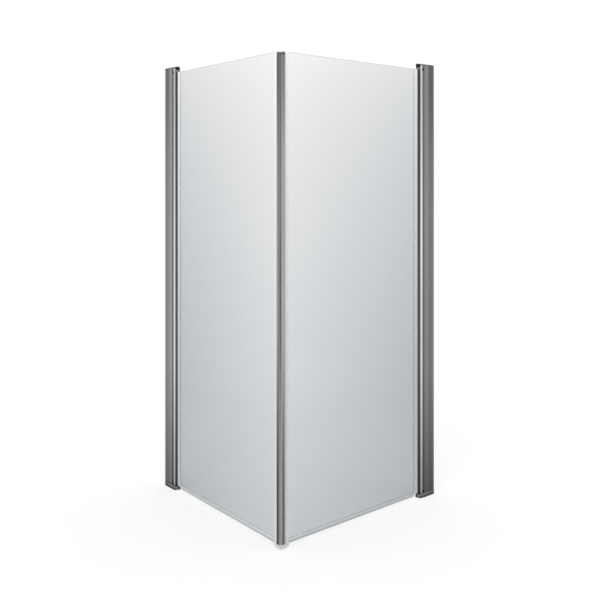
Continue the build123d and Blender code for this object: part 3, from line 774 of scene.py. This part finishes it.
def frame_section(sizes):
    """Outline and hollow of the frame profile."""
    step, edge, wall = sizes.arc_step, sizes.edge_round, sizes.wall
    start, lip = FRAME_LOW.x, FRAME_HIGH.x
    cavity = HALF_FRAME - wall
    face_end = start + sizes.face_width
    floor = HALF_FRAME - sizes.groove_depth
    bead = bead_centre(sizes)
    bead_start = asin((floor - bead[1]) / sizes.bead_radius)
    bead_end = atan2(-bead[1], HINGE_AT - bead[0])
    bead_arc = arc(bead, sizes.bead_radius, pi - bead_start, bead_end, step)
    socket = socket_radius(sizes)
    lip_turn = -acos((lip - HINGE_AT) / socket)
    socket_arc = arc((HINGE_AT, 0), socket, pi + bead_end, 2 * pi + lip_turn, step)
    corners = [
        (lip, -HALF_FRAME),
        (start, -HALF_FRAME),
        (start, -cavity),
        (sizes.chamber_start - wall, -cavity),
        (sizes.chamber_start - wall, cavity),
        (start, cavity),
        (start, HALF_FRAME),
        (face_end, HALF_FRAME),
        (face_end, floor),
    ]
    radii = [edge, edge, 0, 0, 0, 0, edge, edge, edge]
    outline = corners + bead_arc + socket_arc[1:]
    outline = rounded(outline, radii + [0] * (len(outline) - len(radii)), step)
    return [outline, frame_hollow(sizes, bead)]


def frame_hollow(sizes, bead):
    """Closed chamber behind the groove and the socket."""
    wall, step = sizes.wall, sizes.arc_step
    reach = socket_radius(sizes) + wall
    inner = -HALF_FRAME + wall
    floor = HALF_FRAME - sizes.groove_depth - wall
    groove_end = bead[0] - sqrt(sizes.bead_radius**2 - (floor + wall - bead[1]) ** 2) - wall
    face_end = FRAME_LOW.x + sizes.face_width - wall
    start = radians(165)
    end = 2 * pi - acos(-sqrt(reach**2 - inner**2) / reach)
    chamber_arc = arc((HINGE_AT, 0), reach, start, end, step)
    return chamber_arc + [
        (sizes.chamber_start, inner),
        (sizes.chamber_start, HALF_FRAME - wall),
        (face_end, HALF_FRAME - wall),
        (face_end, floor),
        (groove_end, floor),
    ]


def bar_section(sizes):
    """Outline and port of the hinge bar."""
    half_slot = HALF_GLASS + settings().strip.wall
    slot_floor = extent("hinge_gasket")[0].x
    start = asin(half_slot / BAR_RADIUS)
    round_side = arc((HINGE_AT, 0), BAR_RADIUS, start, 2 * pi - start, sizes.arc_step)
    slot = [(slot_floor, -half_slot), (slot_floor, half_slot)]
    port_centre = (HINGE_AT - sizes.port_offset, 0)
    port = arc(port_centre, sizes.port_radius, 0, 2 * pi, sizes.arc_step * 2)[:-1]
    return [round_side + slot, port]


def post_section(sizes):
    """Outline and hollow of one half of the corner post."""
    half_slot = HALF_GLASS + settings().strip.wall
    slot_floor = CORNER - sizes.post_slot
    flank, gap = sizes.groove_flank, sizes.mitre_gap
    half_pocket = sizes.magnet_width / 2

    def on_mitre(across, depth):
        return (CORNER + (across - depth) / sqrt(2), (across + depth) / sqrt(2))

    mitre = gap * sqrt(2)
    pocket_floor = gap + sizes.magnet_depth
    corners = [
        (POST_LOW.x, HALF_POST),
        (CORNER + flank, HALF_POST),
        (CORNER + flank, flank + mitre),
        on_mitre(half_pocket, gap),
        on_mitre(half_pocket, pocket_floor),
        on_mitre(-half_pocket, pocket_floor),
        on_mitre(-half_pocket, gap),
        (CORNER - HALF_POST - mitre, -HALF_POST),
        (POST_LOW.x, -HALF_POST),
        (POST_LOW.x, -half_slot),
        (slot_floor, -half_slot),
        (slot_floor, half_slot),
        (POST_LOW.x, half_slot),
    ]
    wide, fine = sizes.post_round, sizes.edge_round / 2
    radii = [wide, wide, fine, 0, 0, 0, 0, fine, wide, fine, 0, 0, fine]
    chamber_end = CORNER + (half_pocket - pocket_floor) / sqrt(2) - sizes.post_wall
    chamber_low = half_slot + sizes.post_wall
    chamber_high = HALF_POST - sizes.post_wall
    chamber_start = POST_LOW.x + sizes.post_wall
    chamber = [
        (chamber_start, chamber_low),
        (chamber_end, chamber_low),
        (chamber_end, chamber_high),
        (chamber_start, chamber_high),
    ]
    return [rounded(corners, radii, sizes.arc_step), chamber]


STRIP_STEP = radians(15)


def gasket_section(sizes, floor, direction, mouth, lip_end):
    """U-shaped gasket round an upright edge of the glass, open in a direction along the panel."""
    half_slot = HALF_GLASS + sizes.wall - sizes.film
    inside = HALF_GLASS + sizes.film
    glass_edge = floor + direction * (sizes.wall - sizes.film)
    mouth_at = floor + direction * mouth
    root, tip = HALF_GLASS + sizes.lip_root, HALF_GLASS + sizes.lip_tip
    half = [
        (floor, half_slot),
        (mouth_at, half_slot),
        (mouth_at, root),
        (lip_end, tip),
        (lip_end, inside),
        (glass_edge, inside),
    ]
    other = [(u, -v) for u, v in reversed(half)]
    root_round, tip_round = 0.0004, 0.0002
    radii = [0, 0, root_round, tip_round, tip_round, 0]
    return [rounded(half + other, radii + radii[::-1], STRIP_STEP)]


def seal_section(sizes):
    """Section of the bottom seal, as (v, height)."""
    half_slot, inside = HALF_GLASS + sizes.wall, HALF_GLASS + sizes.film
    low, high = extent("bottom_seal")
    glass, top = GLASS_LOW.z, GLASS_LOW.z + sizes.seal_leg
    wing_tip = glass - sizes.wing_drop
    corners = [
        (half_slot, top),
        (inside, top),
        (inside, glass - sizes.film),
        (-inside, glass - sizes.film),
        (-inside, top),
        (-half_slot, top),
        (-half_slot, glass),
        (low.y, wing_tip),
        (low.y, wing_tip - sizes.wall),
        (-half_slot, glass - sizes.wall),
        (half_slot - sizes.seal_lip, glass - sizes.wall),
        (half_slot - sizes.seal_lip, low.z),
        (half_slot, low.z),
    ]
    tip, bend = 0.0003, 0.0006
    radii = [tip, tip, 0, 0, tip, tip, bend, tip, tip, bend, bend, tip, tip]
    return [rounded(corners, radii, STRIP_STEP)]


# Geometry Nodes

MERGE_WITHIN = 0.000001
SHARP_FROM = radians(32)


def finish_tree(wiring, geometry, entry, leave):
    """Realises a tree's instances and gives the result its material."""
    real = wiring.add("GeometryNodeRealizeInstances", {"Geometry": geometry})
    inputs = {"Geometry": real.outputs[0], "Material": entry["Material"]}
    wiring.feed(leave["Geometry"], wiring.add("GeometryNodeSetMaterial", inputs).outputs[0])


def build_extrusion(wiring, entry, leave):
    """Fills closed outlines, extrudes them, closes the far end and puts the length in place."""
    curves = wiring.add("GeometryNodeMeshToCurve", {"Mesh": entry["Geometry"]})
    filled = wiring.add("GeometryNodeFillCurve", {"Curve": curves.outputs[0]}).outputs[0]
    raised = wiring.add("GeometryNodeExtrudeMesh", {
        "Mesh": filled, "Offset": (0, 0, 1), "Offset Scale": entry["Length"], "Individual": False})
    base = wiring.add("GeometryNodeFlipFaces", {"Mesh": filled})
    both = wiring.add("GeometryNodeJoinGeometry")
    wiring.feed(both.inputs[0], raised.outputs["Mesh"])
    wiring.feed(both.inputs[0], base.outputs[0])
    closed = wiring.add("GeometryNodeMergeByDistance", {
        "Geometry": both.outputs[0], "Distance": MERGE_WITHIN})
    put = wiring.add("GeometryNodeTransform", {
        "Geometry": closed.outputs[0], "Translation": entry["Start"], "Rotation": entry["Turn"]})
    finish_tree(wiring, put.outputs[0], entry, leave)


def build_row(wiring, entry, leave):
    """Stands copies of the piece at even steps on a straight line."""
    line = wiring.add("GeometryNodeMeshLine", {
        "Count": entry["Count"], "Start Location": entry["First"], "Offset": entry["Step"],
    }, mode="OFFSET")
    stood = wiring.add("GeometryNodeInstanceOnPoints", {
        "Points": line.outputs[0], "Instance": entry["Geometry"], "Rotation": entry["Turn"]})
    finish_tree(wiring, stood.outputs[0], entry, leave)


def piece_tree(name, inputs, build):
    """Geometry tree that makes a piece from a mesh and puts out a mesh with its material."""
    inputs = [
        ("Geometry", GEOMETRY, None),
        *inputs,
        ("Turn", VECTOR, None),
        ("Material", MATERIAL, None),
    ]
    return node_group(name, "GeometryNodeTree", inputs, [("Geometry", GEOMETRY)], build)


def extrusion_tree():
    """Tree that turns the outlines of a section into a solid length of it."""
    inputs = [("Length", FLOAT, 1.0), ("Start", VECTOR, None)]
    return piece_tree("Extruded section", inputs, build_extrusion)


def row_tree():
    """Tree that repeats a piece in a straight row."""
    inputs = [("Count", "NodeSocketInt", 2), ("First", VECTOR, None), ("Step", VECTOR, None)]
    return piece_tree("Screw row", inputs, build_row)


def worked_out(name, mesh, tree, **values):
    """Object whose mesh is what the tree makes of the given mesh."""
    piece = bpy.data.objects.new(name, mesh)
    bpy.context.scene.collection.objects.link(piece)
    modifier = piece.modifiers.new(tree.name, "NODES")
    modifier.node_group = tree
    for item in tree.interface.items_tree:
        if item.in_out == "INPUT" and item.name in values:
            modifier[item.identifier] = values[item.name]
    graph = bpy.context.evaluated_depsgraph_get()
    result = bpy.data.meshes.new_from_object(piece.evaluated_get(graph))
    piece.modifiers.remove(modifier)
    piece.data = result
    result.name = name
    result.shade_smooth()
    result.set_sharp_from_angle(angle=SHARP_FROM)
    if not result.polygons:
        raise RuntimeError(f"{name} came out empty")
    return piece


def outline_mesh(name, outlines):
    """Mesh of edges only, one closed loop for each outline."""
    points, edges = [], []
    for outline in outlines:
        first = len(points)
        points += [(x, y, 0.0) for x, y in outline]
        count = len(outline)
        edges += [(first + index, first + (index + 1) % count) for index in range(count)]
    mesh = bpy.data.meshes.new(name)
    mesh.from_pydata(points, edges, [])
    return mesh


def stand_in(side, name, moves, slot, finish, mesh, tree, **values):
    """Fine piece that rides on its body and stands for a CAD node."""
    node = f"{side}_{name}"
    piece = worked_out(f"{node}_fine", mesh, tree, Material=finish_of(finish), **values)
    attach(piece, door(side) if moves else FIXED_BODY)
    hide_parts(node)


def uprights(sections, finish, slot, moves=True):
    """Upright extrusions of both sides, each as tall as its CAD node."""
    for side in SIDES:
        for name, section in sections.items():
            node = f"{side}_{name}"
            low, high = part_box(node)
            outlines = [[place(side, u, v) for u, v in outline] for outline in section]
            stand_in(
                side, name, moves, slot, finish, outline_mesh(node, outlines), extrusion_tree(),
                Length=high.z - low.z, Start=(0.0, 0.0, low.z))


def screw_mesh(name, radius, head, reach, sizes):
    """Round-headed socket screw along +Z, with its seat at z = 0."""
    sides = sizes.sides
    turns = [2 * pi * index / sides for index in range(sides)]
    flats = radius * sizes.socket_share
    floor = head * (1 - sizes.socket_depth)
    shank = radius * sizes.shank_share
    rim = head * sizes.rim_share
    mouth = flats * 1.25

    def ring(size, height):
        return [(size * cos(turn), size * sin(turn), height) for turn in turns]

    def hexagon(height):
        across = [flats / cos((turn + pi / 6) % (pi / 3) - pi / 6) for turn in turns]
        return [(size * cos(turn), size * sin(turn), height) for size, turn in zip(across, turns)]

    dome = [
        ring(radius * cos(rise), rim + (head - rim) * sin(rise))
        for rise in [radians(15 * step) for step in range(5)]
    ]
    rings = [ring(shank, -reach), ring(shank, 0), ring(radius, 0)] + dome
    rings += [ring(mouth, head), hexagon(head), hexagon(floor)]
    points = [(0, 0, -reach)] + [point for circle in rings for point in circle] + [(0, 0, floor)]
    faces = []
    for side in range(sides):
        after = (side + 1) % sides
        faces.append((0, 1 + after, 1 + side))
        for index in range(len(rings) - 1):
            low, high = 1 + index * sides, 1 + (index + 1) * sides
            faces.append((low + side, low + after, high + after, high + side))
        last = 1 + (len(rings) - 1) * sides
        faces.append((last + side, last + after, len(points) - 1))
    mesh = bpy.data.meshes.new(name)
    mesh.from_pydata(points, [], faces)
    return mesh


def screw_row(side, name, count, head, facing, finish, slot):
    """Row of screws that stands for a CAD node of screws, facing along a unit vector."""
    node = f"{side}_{name}"
    low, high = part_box(node)
    size = high - low
    width = abs(size.dot(along(side)))
    radius = width / 2
    depth = abs(size.dot(facing))
    seat = (low + high) / 2 + facing * (depth / 2 - head)
    stand_in(
        side, name, False, slot, finish,
        screw_mesh(node, radius, head, depth - head, settings().screw), row_tree(),
        Count=count, First=Vector((seat.x, seat.y, low.z + radius)),
        Step=Vector((0, 0, (size.z - width) / (count - 1))),
        Turn=facing.to_track_quat("Z", "Y").to_euler())


def seal_run(side, section):
    """Bottom seal of one side: its section runs along the panel, below the glass."""
    name = "bottom_seal"
    low, high = extent(name)
    out, up = outwards(side), Vector((0, 0, 1))
    run = out.cross(up)
    start = high.x if run.dot(along(side)) < 0 else low.x
    stand_in(
        side, name, True, "clear_strip", "Clear seal",
        outline_mesh(f"{side}_{name}", section), extrusion_tree(),
        Length=high.x - low.x, Start=(*place(side, start, 0.0), 0.0),
        Turn=Matrix((out, up, run)).transposed().to_euler())


# Operators, one for each piece or group of like pieces


class SHOWER_OT_wall_channels(bpy.types.Operator):
    """Finish the two channels that are screwed to the walls"""

    bl_idname = "shower_screen.wall_channels"
    bl_label = "Wall Channels"

    def execute(self, context):
        dress("wall_channel", "Channel aluminium")
        return {"FINISHED"}


class SHOWER_OT_frame_profiles(bpy.types.Operator):
    """Make the frame profiles with their groove, bead and hinge socket"""

    bl_idname = "shower_screen.frame_profiles"
    bl_label = "Frame Profiles"

    def execute(self, context):
        sections = {"frame_profile": frame_section(settings().profile)}
        uprights(sections, "Frame aluminium", "frame_alloy", moves=False)
        return {"FINISHED"}


class SHOWER_OT_end_blocks(bpy.types.Operator):
    """Finish the end blocks, their rubber pads and the pivot pins"""

    bl_idname = "shower_screen.end_blocks"
    bl_label = "End Blocks"

    def execute(self, context):
        for end in ("top", "bottom"):
            dress(f"{end}_block", "Block metal")
            dress(f"{end}_pivot_pin", "Plain steel")
        dress("base_pad", "Pad rubber")
        return {"FINISHED"}


class SHOWER_OT_screws(bpy.types.Operator):
    """Make the socket screws in the groove and on the inner side of the frame"""

    bl_idname = "shower_screen.screws"
    bl_label = "Screws"

    def execute(self, context):
        sizes = settings().screw
        for side in SIDES:
            out = outwards(side)
            screw_row(side, "block_screws", 2, sizes.block_head, out,
                      "Black screw steel", "black_steel")
            screw_row(side, "lock_screws", 3, sizes.lock_head, -out, "Plain steel", "plain_steel")
        return {"FINISHED"}


class SHOWER_OT_hinge_bars(bpy.types.Operator):
    """Make the dark hinge bars, and finish their bushes and rings"""

    bl_idname = "shower_screen.hinge_bars"
    bl_label = "Hinge Bars"

    def execute(self, context):
        sections = {"hinge_bar": bar_section(settings().profile)}
        uprights(sections, "Dark bar aluminium", "dark_alloy")
        dress("top_bush", "Bush plastic")
        dress("bottom_bush", "Bush plastic")
        dress("top_ring", "Ring plastic")
        return {"FINISHED"}


class SHOWER_OT_glass(bpy.types.Operator):
    """Finish the two panes of glass"""

    bl_idname = "shower_screen.glass"
    bl_label = "Glass"

    def execute(self, context):
        dress("glass", "Clear glass")
        return {"FINISHED"}


class SHOWER_OT_gaskets(bpy.types.Operator):
    """Make the clear gaskets round the upright edges of the glass"""

    bl_idname = "shower_screen.gaskets"
    bl_label = "Gaskets"

    def execute(self, context):
        sizes = settings().strip
        hinge_low, hinge_high = extent("hinge_gasket")
        edge_low, edge_high = extent("edge_gasket")
        sections = {
            "hinge_gasket": gasket_section(sizes, hinge_low.x, 1, sizes.hinge_mouth, hinge_high.x),
            "edge_gasket": gasket_section(sizes, edge_high.x, -1, sizes.edge_mouth, edge_low.x),
        }
        uprights(sections, "Clear strip", "clear_strip")
        return {"FINISHED"}


class SHOWER_OT_seals(bpy.types.Operator):
    """Make the bottom seals with their upright lip and drip wing"""

    bl_idname = "shower_screen.seals"
    bl_label = "Bottom Seals"

    def execute(self, context):
        section = seal_section(settings().strip)
        for side in SIDES:
            seal_run(side, section)
        return {"FINISHED"}


class SHOWER_OT_corner_post(bpy.types.Operator):
    """Make the two corner profiles, and finish their caps, feet and magnets"""

    bl_idname = "shower_screen.corner_post"
    bl_label = "Corner Post"

    def execute(self, context):
        sections = {"corner_profile": post_section(settings().profile)}
        uprights(sections, "Post aluminium", "post_alloy")
        dress("corner_cap", "Cap plastic")
        dress("corner_foot", "Foot plastic")
        dress("magnet_strip", "Magnet rubber")
        return {"FINISHED"}


# Studio. The lamps stand at places in metres.

WHITE = (1.0, 1.0, 1.0, 1.0)
AIM = (0.45, 0.45, 1.0)
KEY_PLACE = (2.6, -3.2, 4.2)
PANEL_PLACES = {"Left panel": (-1.2, -3.4, 1.3), "Right panel": (3.8, 1.9, 1.3)}
PANEL_WIDTH, PANEL_HEIGHT = 0.5, 3.0
SENSOR_WIDTH = 36.0


def seen_directly(wiring):
    """1 for sight, mirror and glass rays, 0 for the rays that light the object."""
    paths = wiring.add("ShaderNodeLightPath").outputs
    seen = wiring.math("MAXIMUM", paths["Is Camera Ray"], paths["Is Glossy Ray"])
    return wiring.math("MAXIMUM", seen, paths["Is Transmission Ray"])


def studio_world(sizes):
    """White world that lights the object at a plain level."""
    world = bpy.data.worlds.new("Plain studio")
    wiring = cleared(world)
    strength = wiring.spread(seen_directly(wiring), 0.0, 1.0, sizes.world_level, 1.0, smooth=False)
    shade = wiring.add("ShaderNodeBackground", {"Color": WHITE, "Strength": strength})
    wiring.add("ShaderNodeOutputWorld", {"Surface": shade.outputs[0]})
    bpy.context.scene.world = world


def stand(name, data):
    """Object of a mesh, a lamp or a camera, linked to the scene."""
    item = bpy.data.objects.new(name, data)
    bpy.context.scene.collection.objects.link(item)
    return item


def studio_floor(sizes):
    """Pale floor that shows white and keeps the object's shadow."""
    reach = sizes.floor_reach
    mesh = bpy.data.meshes.new("Studio floor")
    corners = [(-reach, -reach, 0), (reach, -reach, 0), (reach, reach, 0), (-reach, reach, 0)]
    mesh.from_pydata(corners, [], [(0, 1, 2, 3)])
    material = bpy.data.materials.new("Studio floor")
    wiring = cleared(material)
    matt = wiring.add("ShaderNodeBsdfDiffuse", {"Color": colour([sizes.floor_grey] * 3)})
    strength = wiring.math("MULTIPLY", seen_directly(wiring), sizes.floor_level)
    glow = wiring.add("ShaderNodeEmission", {"Color": WHITE, "Strength": strength})
    both = wiring.add("ShaderNodeAddShader", {0: matt.outputs[0], 1: glow.outputs[0]})
    wiring.add("ShaderNodeOutputMaterial", {"Surface": both.outputs[0]})
    mesh.materials.append(material)
    floor = stand("Studio floor", mesh)


def lamp(name, kind, place_at, **options):
    """Lamp at a place that points at the object and hides from the camera."""
    light = bpy.data.lights.new(name, kind)
    for option, value in options.items():
        setattr(light, option, value)
    shone = stand(name, light)
    shone.location = place_at
    shone.rotation_euler = (Vector(AIM) - Vector(place_at)).to_track_quat("-Z", "Y").to_euler()
    for rays in ("camera", "transmission", "glossy"):
        setattr(shone, f"visible_{rays}", False)


def studio_lamps(sizes):
    """Soft key lamp and two tall light panels."""
    lamp("Key", "SUN", KEY_PLACE, energy=sizes.sun_strength, angle=sizes.sun_size)
    for name, place_at in PANEL_PLACES.items():
        lamp(name, "AREA", place_at, shape="RECTANGLE", size=PANEL_WIDTH, size_y=PANEL_HEIGHT,
             energy=sizes.panel_power)


def studio_camera(sizes):
    """Level camera with a shifted lens, as in the photograph."""
    lens = bpy.data.cameras.new("Camera")
    lens.lens = sizes.lens
    lens.sensor_width = SENSOR_WIDTH
    lens.shift_x = sizes.shift_x
    lens.shift_y = sizes.shift_y
    camera = stand("Camera", lens)
    camera.location = sizes.camera_place
    camera.rotation_euler = (pi / 2, 0, sizes.camera_turn)
    bpy.context.scene.camera = camera


class SHOWER_OT_studio(bpy.types.Operator):
    """Make the floor, the world, the lamps and the camera"""

    bl_idname = "shower_screen.studio"
    bl_label = "Studio"

    def execute(self, context):
        sizes = settings().studio
        studio_world(sizes)
        studio_floor(sizes)
        studio_lamps(sizes)
        studio_camera(sizes)
        context.scene.view_settings.view_transform = "Standard"
        return {"FINISHED"}


OPERATORS = (
    SHOWER_OT_wall_channels,
    SHOWER_OT_frame_profiles,
    SHOWER_OT_end_blocks,
    SHOWER_OT_screws,
    SHOWER_OT_hinge_bars,
    SHOWER_OT_glass,
    SHOWER_OT_gaskets,
    SHOWER_OT_seals,
    SHOWER_OT_corner_post,
    SHOWER_OT_studio,
)


class SHOWER_PT_panel(bpy.types.Panel):
    """Buttons that make each group of pieces"""

    bl_idname = "SHOWER_PT_panel"
    bl_label = LABEL
    bl_space_type = "VIEW_3D"
    bl_region_type = "UI"
    bl_category = LABEL

    def draw(self, context):
        for operator in OPERATORS:
            self.layout.operator(operator.bl_idname)


CLASSES = (
    ProfileSettings,
    StripSettings,
    ScrewSettings,
    FinishSettings,
    StudioSettings,
    ShowerScreenSettings,
    *OPERATORS,
    SHOWER_PT_panel,
)


def register():
    """Registers the classes and the settings."""
    for item in CLASSES:
        bpy.utils.register_class(item)
    bpy.types.Scene.shower_screen = PointerProperty(type=ShowerScreenSettings)


def unregister():
    """Takes the settings and the classes away again."""
    del bpy.types.Scene.shower_screen
    for item in reversed(CLASSES):
        bpy.utils.unregister_class(item)


def main():
    """Makes everything in order."""
    register()
    for operator in OPERATORS:
        group, name = operator.bl_idname.split(".")
        getattr(getattr(bpy.ops, group), name)()


if __name__ == "__main__":
    main()
